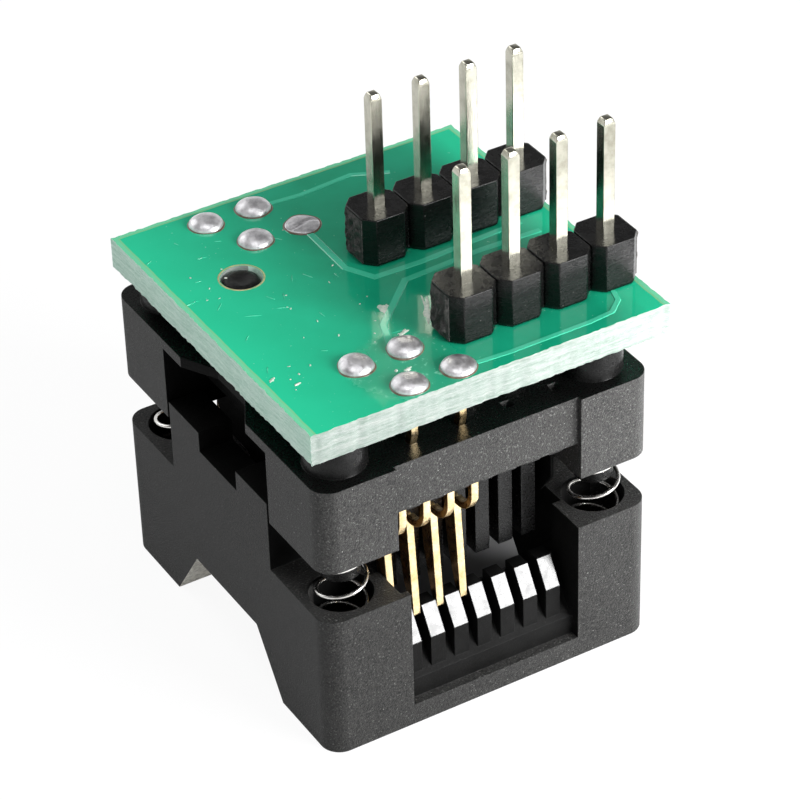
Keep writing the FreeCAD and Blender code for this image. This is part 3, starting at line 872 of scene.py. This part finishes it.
def board_material(face):
    """Lacquer on the flat sides, and bare laminate on the sawn edges and in the holes; faces that
    look left get a paler copy of the laminate as painted light.
    """
    if abs(face.normal.z) > 0.9:
        return 0
    return 2 if face.normal.x < -0.7 else 1


def fray_edges(shape):
    """Cuts the sawn sides into narrow strips whose corners stray a little into the board."""
    for axis in (0, 1):
        for end, inward in ((board_low, 1), (board_high, -1)):
            sides = [e for e in shape.edges
                     if all(abs(v.co[axis] - end[axis]) < SMALL for v in e.verts)
                     and abs(e.verts[0].co.z - e.verts[1].co.z) < SMALL]
            cut = bmesh.ops.subdivide_edges(shape, edges=sides, cuts=EDGE_CUTS)
            for vert in cut["geom_inner"]:
                if isinstance(vert, bmesh.types.BMVert):
                    stray = noise.fractal(vert.co / MM * FRAY_PER_MM, 0.9, 2.0, 4)
                    vert.co[axis] += inward * FRAY * min(1.0, abs(stray) * FRAY_GAIN)


def dressed_board():
    """The board with frayed edges, in lacquer and bare laminate, whose left-facing sides are paler
    as painted light.
    """
    shape = cad_shape("circuit_board")
    fray_edges(shape)
    shape.normal_update()
    for face in shape.faces:
        face.material_index = board_material(face)
    piece = add_piece("lacquered_board", shape, [MASK, EDGE, EDGE_LEFT_PAINTED_LIGHT], "adapter")
    round_edges(piece, BOARD_ROUND, angle=50)
    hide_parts("circuit_board")


def trace(name, width, points):
    """A copper track under the lacquer: a low ridge with sloping sides along a broken line."""
    shape = bmesh.new()
    path = [Vector(point) * MM for point in points]
    sections = []
    for i, here in enumerate(path):
        ahead = (path[i + 1] - here).normalized() if i + 1 < len(path) else None
        behind = (here - path[i - 1]).normalized() if i else None
        way = ((ahead or behind) + (behind or ahead)).normalized()
        side = Vector((-way.y, way.x)) / max(0.5, way.dot(ahead or behind))
        row = []
        for out, up in TRACE_SECTION:
            spot = here + side * out * width * MM / 2
            row.append(shape.verts.new((spot.x, spot.y, board_high.z + up * TRACE_HEIGHT)))
        sections.append(row)
    join_rings(shape, sections, foot=True, top=True)
    add_form(name, shape, TRACE_MASK, "adapter", smooth=False)


dressed_board()
for name, width, points in TRACKS:
    trace(name, width, points)


# Solder, pegs and marks on the board

DOME_R = 0.84 * MM
DOME_RINGS = 12
DOME_HEIGHTS = (0.46, 0.44, 0.48, 0.42, 0.45, 0.45, 0.48, 0.45)
# The ring of flux round a dome: share of its radius, and height above the board in millimetres
FLUX_RING = ((1.07, -0.01), (1.05, 0.02), (0.99, 0.06), (0.9, 0.02))
FLAT_HEIGHT = 0.14
CREASE_DEPTH = 0.07 * MM
CREASE_WIDTH, CREASE_REACH = 0.09, 0.8
CREASE_LEAN, CREASE_WAVES = 0.25, 2.6
DOME_WOBBLE, FLUX_WOBBLE, CONE_WOBBLE, PEG_WOBBLE, HOLE_WOBBLE = 0.07, 0.12, 0.05, 0.05, 0.02
DOME_STEPS, CONE_STEPS, HOLE_STEPS = 40, 32, 48
CONE_RINGS = 9
CONE_FOOT, CONE_TAPER, CONE_LENGTH = 0.68 * MM, 0.3 * MM, 0.55 * MM
PEG_HOLES = ((-5.24, 3.37), (5.24, -3.37))
# A peg's top: radius, and depth below its crown, in millimetres
PEG_TOP = ((0.95, 0.42), (0.92, 0.24), (0.82, 0.07), (0.62, 0.0), (0.42, 0.03), (0.15, 0.09))
# The bare ring round a peg's hole: radius, and height above the board, in millimetres
HOLE_RING = ((1.12, -0.01), (1.10, 0.012), (1.03, 0.012), (1.00, -0.04))
SMEAR_STEPS = 30
SMEAR_FOOT, SMEAR_TOP = -0.005 * MM, 0.018 * MM
SMEAR_TAPER = 0.86
SMEAR_RAGGED = 0.75
# Each smear: place, length and width in millimetres, and turn in radians
SMEARS = ((-0.95, -2.45, 0.75, 0.5, 1.1), (0.55, -3.7, 2.3, 0.38, 1.15),
          (-1.9, -4.2, 0.5, 0.2, 0.9), (-8.1, -4.6, 0.36, 0.17, 0.5),
          (-7.3, -5.5, 0.3, 0.15, 0.1), (-1.3, -4.6, 0.6, 0.25, 0.4),
          (-2.6, -7.2, 0.4, 0.22, 0.2), (-3.1, -7.0, 0.25, 0.14, 0.9))
# Where specks gather: place and spread in millimetres
SPECK_PLACES = ((-4.0, -3.8, 0.9), (-6.5, -4.8, 0.6), (-5.2, 1.2, 1.1), (-3.6, 6.9, 1.6),
                (-7.2, 3.5, 1.2), (-1.5, 0.5, 1.8), (-2.4, -5.0, 0.7))
SPECK_COUNT, SCRATCH_COUNT = 34, 26
SPECK_LENGTH, SPECK_WIDTH = (0.05, 0.16), (0.03, 0.08)
SCRATCH_X, SCRATCH_Y = (-8.4, -1.2), (-6.8, 7.6)
SCRATCH_LENGTH, SCRATCH_WIDTH = (0.2, 0.7), (0.02, 0.04)
ANY_TURN = (0, 3.1)
DRAW_SEED, SPECK_SEED, SCRATCH_SEED = 5, 20, 60


def tail_axis(node):
    """Where a contact's tail comes up through the board."""
    top = [v.co for v in frame["nodes"][node].data.vertices if v.co.z > board_high.z - 0.1 * MM]
    return sum(v.x for v in top) / len(top), sum(v.y for v in top) / len(top)


def dome_profile(height):
    """From the rim up to a small crown."""
    points = [(DOME_R * 0.97, board_high.z - 0.03 * MM)]
    for i in range(DOME_RINGS):
        turn = i / DOME_RINGS * math.pi / 2
        points.append((DOME_R * math.cos(turn), board_high.z + height * math.sin(turn) ** 0.9))
    return points


def crease(shape, x, y):
    """Presses a wavy crease into the dome at a place."""
    for vert in shape.verts:
        off = Vector((vert.co.x - x, vert.co.y - y)) / MM
        line = off.y + CREASE_LEAN * (off.x - math.sin(CREASE_WAVES * off.x))
        if off.length < CREASE_REACH and vert.co.z > board_high.z + 0.02 * MM:
            vert.co.z -= CREASE_DEPTH * math.exp(-(line / CREASE_WIDTH) ** 2)


def solder_domes():
    """Domes over the contacts' tails, one of them flat and creased, each in a ring of flux."""
    tails = {node: tail_axis(node) for node in ROOTS}
    flat_joint = max(ROOTS, key=lambda node: tails[node][0] + 0.2 * tails[node][1])
    shape = bmesh.new()
    rims = bmesh.new()
    for node, height in zip(ROOTS, DOME_HEIGHTS):
        x, y = tails[node]
        flat = node == flat_joint
        lathe(shape, x, y, dome_profile((FLAT_HEIGHT if flat else height) * MM),
              DOME_STEPS, DOME_WOBBLE, top=True)
        lathe(rims, x, y, [(DOME_R * share, board_high.z + up * MM) for share, up in FLUX_RING],
              DOME_STEPS, FLUX_WOBBLE)
        if flat:
            crease(shape, x, y)
    domes = add_form("solder_domes", shape, SOLDER, "adapter")
    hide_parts("contact_solder_joints")
    add_form("flux_rims", rims, FLUX, "adapter")


def solder_cones():
    """Hollow-sided cones round the header pins under the board."""
    shape = bmesh.new()
    shares = [i / (CONE_RINGS - 1) for i in range(CONE_RINGS)]
    profile = [(CONE_FOOT - CONE_TAPER * share ** 0.5,
                board_low.z + 0.02 * MM - CONE_LENGTH * share) for share in shares]
    for node in PINS:
        lathe(shape, *pin_axis(node), profile, CONE_STEPS, CONE_WOBBLE, top=True)
    cones = add_form("solder_cones", shape, SOLDER, "adapter")
    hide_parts("header_solder_joints")


def peg_tips():
    """The rounded, slightly dished tops of the locating pegs, inside the board."""
    shape = bmesh.new()
    foot, crown = (board_low.z + board_high.z) / 2 - 0.05 * MM, board_high.z - 0.06 * MM
    profile = [(PEG_TOP[0][0] * MM, foot)]
    profile += [(radius * MM, crown - drop * MM) for radius, drop in PEG_TOP]
    for x, y in PEG_HOLES:
        lathe(shape, x * MM, y * MM, profile, DOME_STEPS, PEG_WOBBLE, top=True)
    add_form("peg_tips", shape, PEG, "adapter")


def hole_rims():
    """The bare rings where the lacquer stops short of the peg holes."""
    shape = bmesh.new()
    profile = [(radius * MM, board_high.z + up * MM) for radius, up in HOLE_RING]
    for x, y in PEG_HOLES:
        lathe(shape, x * MM, y * MM, profile, HOLE_STEPS, HOLE_WOBBLE)
    add_form("bare_hole_rims", shape, RIM, "adapter")


def smear(shape, x, y, length, width, turn, seed):
    """Adds a thin ragged patch of dried flux to a bmesh."""
    middle = Vector((x, y)) * MM
    edge = []
    for k in range(SMEAR_STEPS):
        angle = 2 * math.pi * k / SMEAR_STEPS
        spot = Vector((math.cos(angle) * 1.3 + seed * 5.1, math.sin(angle) * 1.3, seed))
        r = 1 + SMEAR_RAGGED * noise.fractal(spot, 1.0, 2.0, 4)
        flat = Vector((length / 2 * r * math.cos(angle), width / 2 * r * math.sin(angle))) * MM
        flat.rotate(Matrix.Rotation(turn, 2))
        edge.append(flat)
    rings = [[shape.verts.new((*(middle + flat * share), board_high.z + up)) for flat in edge]
             for share, up in ((1.0, SMEAR_FOOT), (SMEAR_TAPER, SMEAR_TOP))]
    join_rings(shape, rings, top=True)


def marks():
    """Dried flux in smears and specks, and fine scratches."""
    shape = bmesh.new()
    for i, (x, y, length, width, turn) in enumerate(SMEARS):
        smear(shape, x, y, length, width, turn, i)
    draw = random.Random(DRAW_SEED)
    for i in range(SPECK_COUNT):
        x, y, spread = draw.choice(SPECK_PLACES)
        smear(shape, x + draw.gauss(0, spread), y + draw.gauss(0, spread),
              draw.uniform(*SPECK_LENGTH), draw.uniform(*SPECK_WIDTH), draw.uniform(*ANY_TURN),
              i + SPECK_SEED)
    add_form("dry_flux", shape, DRY_FLUX, "adapter")
    scratches = bmesh.new()
    for i in range(SCRATCH_COUNT):
        smear(scratches, draw.uniform(*SCRATCH_X), draw.uniform(*SCRATCH_Y),
              draw.uniform(*SCRATCH_LENGTH), draw.uniform(*SCRATCH_WIDTH), draw.uniform(*ANY_TURN),
              i + SCRATCH_SEED)
    add_form("fine_scratches", scratches, SCRATCHED_MASK, "adapter")


solder_domes()
solder_cones()
peg_tips()
hole_rims()
marks()


# Floor, lights and camera

FLOOR_HALF = 1.5
FLOOR_Z = -0.02 * MM
FLOOR_BOUNCE, FLOOR_SEEN = 0.5, 0.95
FLOOR_GLOW = 0.92
FLOOR_GLOSS = 0.25
FOOTPRINT_SHADE = 0.12
FOOTPRINT_LEFT = 0.72
FOOTPRINT_FADE = 0.88
ROOM_COLOUR = (0.96, 0.98, 1.0)
ROOM_LIGHT, ROOM_LIGHT_LEVEL = 0.5, 0.22
ROOM_LIGHT_TO = 0.7
CEILING = 0.16
CEILING_FROM, CEILING_TO = 0.2, 0.5
CENTRE = Vector((0, 0, 12 * MM))
# Each soft box: name, direction from the object, distance, size and power
SOFT_BOXES = (("key", (0.41, -0.84, 0.36), 0.36, (0.16, 0.16), 2.1),
              ("overhead", (-0.15, -0.2, 1), 0.35, (0.2, 0.2), 0.35),
              ("rear", (-0.3, 0.9, 0.6), 0.45, (0.3, 0.2), 0.4))
SIDE_PLACE = Vector((32, -28, 15)) * MM
SIDE_TARGET = Vector((0, -9.8, 10)) * MM
SIDE_SIZE = (12 * MM, 20 * MM)
SIDE_POWER = 0.034
CAMERA_PLACE = Vector((-64.65, -114.02, 104.41)) * MM
AZIMUTH, ELEVATION, ROLL = (math.radians(angle) for angle in (-29.962, 35.485, -1.829))
SENSOR_WIDTH, FOCAL_LENGTH = 36, 152.77


def straight_rays(s, seen=1.0, mirrored=1.0):
    """One share for rays that come from the camera, and one for reflections and transmissions."""
    path = s.nodes.new("ShaderNodeLightPath").outputs
    bent = s.math("MAXIMUM", path["Is Glossy Ray"], path["Is Transmission Ray"])
    return s.math("MAXIMUM", s.math("MULTIPLY", path["Is Camera Ray"], seen),
                  s.math("MULTIPLY", bent, mirrored))


def beyond_footprint(s):
    """Zero on the floor under the object, which stays in its own shade, and one around it. The
    shade starts further in at the left end, whose notch is open to the room."""
    left, right = cover_low.x * FOOTPRINT_LEFT / MM, cover_high.x / MM
    x, y, _ = s.parts(s.place)
    across = s.math("DIVIDE", s.math("SUBTRACT", x, (left + right) / 2), (right - left) / 2)
    along = s.math("DIVIDE", y, cover_high.y / MM)
    outer = s.math("MAXIMUM", s.math("ABSOLUTE", across), s.math("ABSOLUTE", along))
    return s.spread(outer, 0.0, 1.0, FOOTPRINT_FADE, 1.0)


def pale_floor():
    """A floor that the camera sees as white, and that keeps the object's shadow."""
    mesh = bpy.data.meshes.new("floor")
    mesh.from_pydata([(a * FLOOR_HALF, b * FLOOR_HALF, FLOOR_Z)
                      for a, b in ((-1, -1), (1, -1), (1, 1), (-1, 1))], [], [(0, 1, 2, 3)])
    floor = bpy.data.objects.new("floor", mesh)
    scene.collection.objects.link(floor)
    s = Shader("floor_white")
    around = beyond_footprint(s)
    bounce = s.spread(straight_rays(s), FLOOR_BOUNCE, FLOOR_SEEN)
    s.colour(s.spread(around, FOOTPRINT_SHADE, bounce))
    s.rough(0.9)
    share = s.math("MULTIPLY", straight_rays(s, FLOOR_GLOW, FLOOR_GLOSS), around)
    s.blend(share, s.surface, s.nodes.new("ShaderNodeEmission"), s.nodes["Material Output"])
    mesh.materials.append(s.material)


def studio_world():
    """A white room with a darker ceiling, as the camera and reflections see it. The light that it
    gives is weaker, and weakest towards the horizon."""
    world = bpy.data.worlds.new("studio")
    scene.world = world
    world.use_nodes = True
    s = Tree(world.node_tree)
    s.nodes.clear()
    way = s.nodes.new("ShaderNodeTexCoord")
    up = s.parts(way.outputs["Generated"])[2]
    seen = s.nodes.new("ShaderNodeBackground")
    s.feed(seen.inputs["Color"], s.ramp(up, (CEILING_FROM, 1.0), (CEILING_TO, CEILING)))
    soft = s.nodes.new("ShaderNodeBackground")
    s.feed(soft.inputs["Color"], ROOM_COLOUR)
    s.feed(soft.inputs["Strength"], s.spread(up, ROOM_LIGHT_LEVEL, ROOM_LIGHT, 0.0, ROOM_LIGHT_TO))
    s.blend(straight_rays(s), soft, seen, s.nodes.new("ShaderNodeOutputWorld"))


def area_light(name, place, target, size, power):
    lamp = bpy.data.lights.new(name, "AREA")
    lamp.shape = "RECTANGLE"
    lamp.size, lamp.size_y = size
    lamp.energy = power
    holder = bpy.data.objects.new(name, lamp)
    scene.collection.objects.link(holder)
    holder.location = place
    holder.rotation_euler = (target - place).to_track_quat("-Z", "Y").to_euler()
    return holder


def soft_box(name, direction, distance, size, power):
    """A lamp that stands in a direction from the object and faces it."""
    area_light(name, CENTRE + Vector(direction).normalized() * distance, CENTRE, size, power)


def side_light():
    """A small lamp close to the front right corner, out of the picture: the front faces fade away
    from it."""
    lamp = area_light("side", SIDE_PLACE, SIDE_TARGET, SIDE_SIZE, SIDE_POWER)
    lamp.visible_camera = False
    lamp.visible_glossy = False


def photograph_camera():
    """The photograph's viewing angle, as a place, a direction and a roll."""
    back = Vector((math.sin(AZIMUTH) * math.cos(ELEVATION),
                   -math.cos(AZIMUTH) * math.cos(ELEVATION), math.sin(ELEVATION)))
    level = Vector((math.cos(AZIMUTH), math.sin(AZIMUTH), 0))
    right = level * math.cos(ROLL) + back.cross(level) * math.sin(ROLL)
    turned = Matrix((right, back.cross(right), back)).transposed().to_4x4()
    lens = bpy.data.cameras.new("camera")
    lens.sensor_width = SENSOR_WIDTH
    lens.lens = FOCAL_LENGTH
    lens.clip_start = 0.01
    holder = bpy.data.objects.new("camera", lens)
    scene.collection.objects.link(holder)
    holder.matrix_world = Matrix.Translation(CAMERA_PLACE) @ turned
    scene.camera = holder


pale_floor()
studio_world()
photograph_camera()
for box in SOFT_BOXES:
    soft_box(*box)
side_light()
scene.view_settings.view_transform = "Standard"
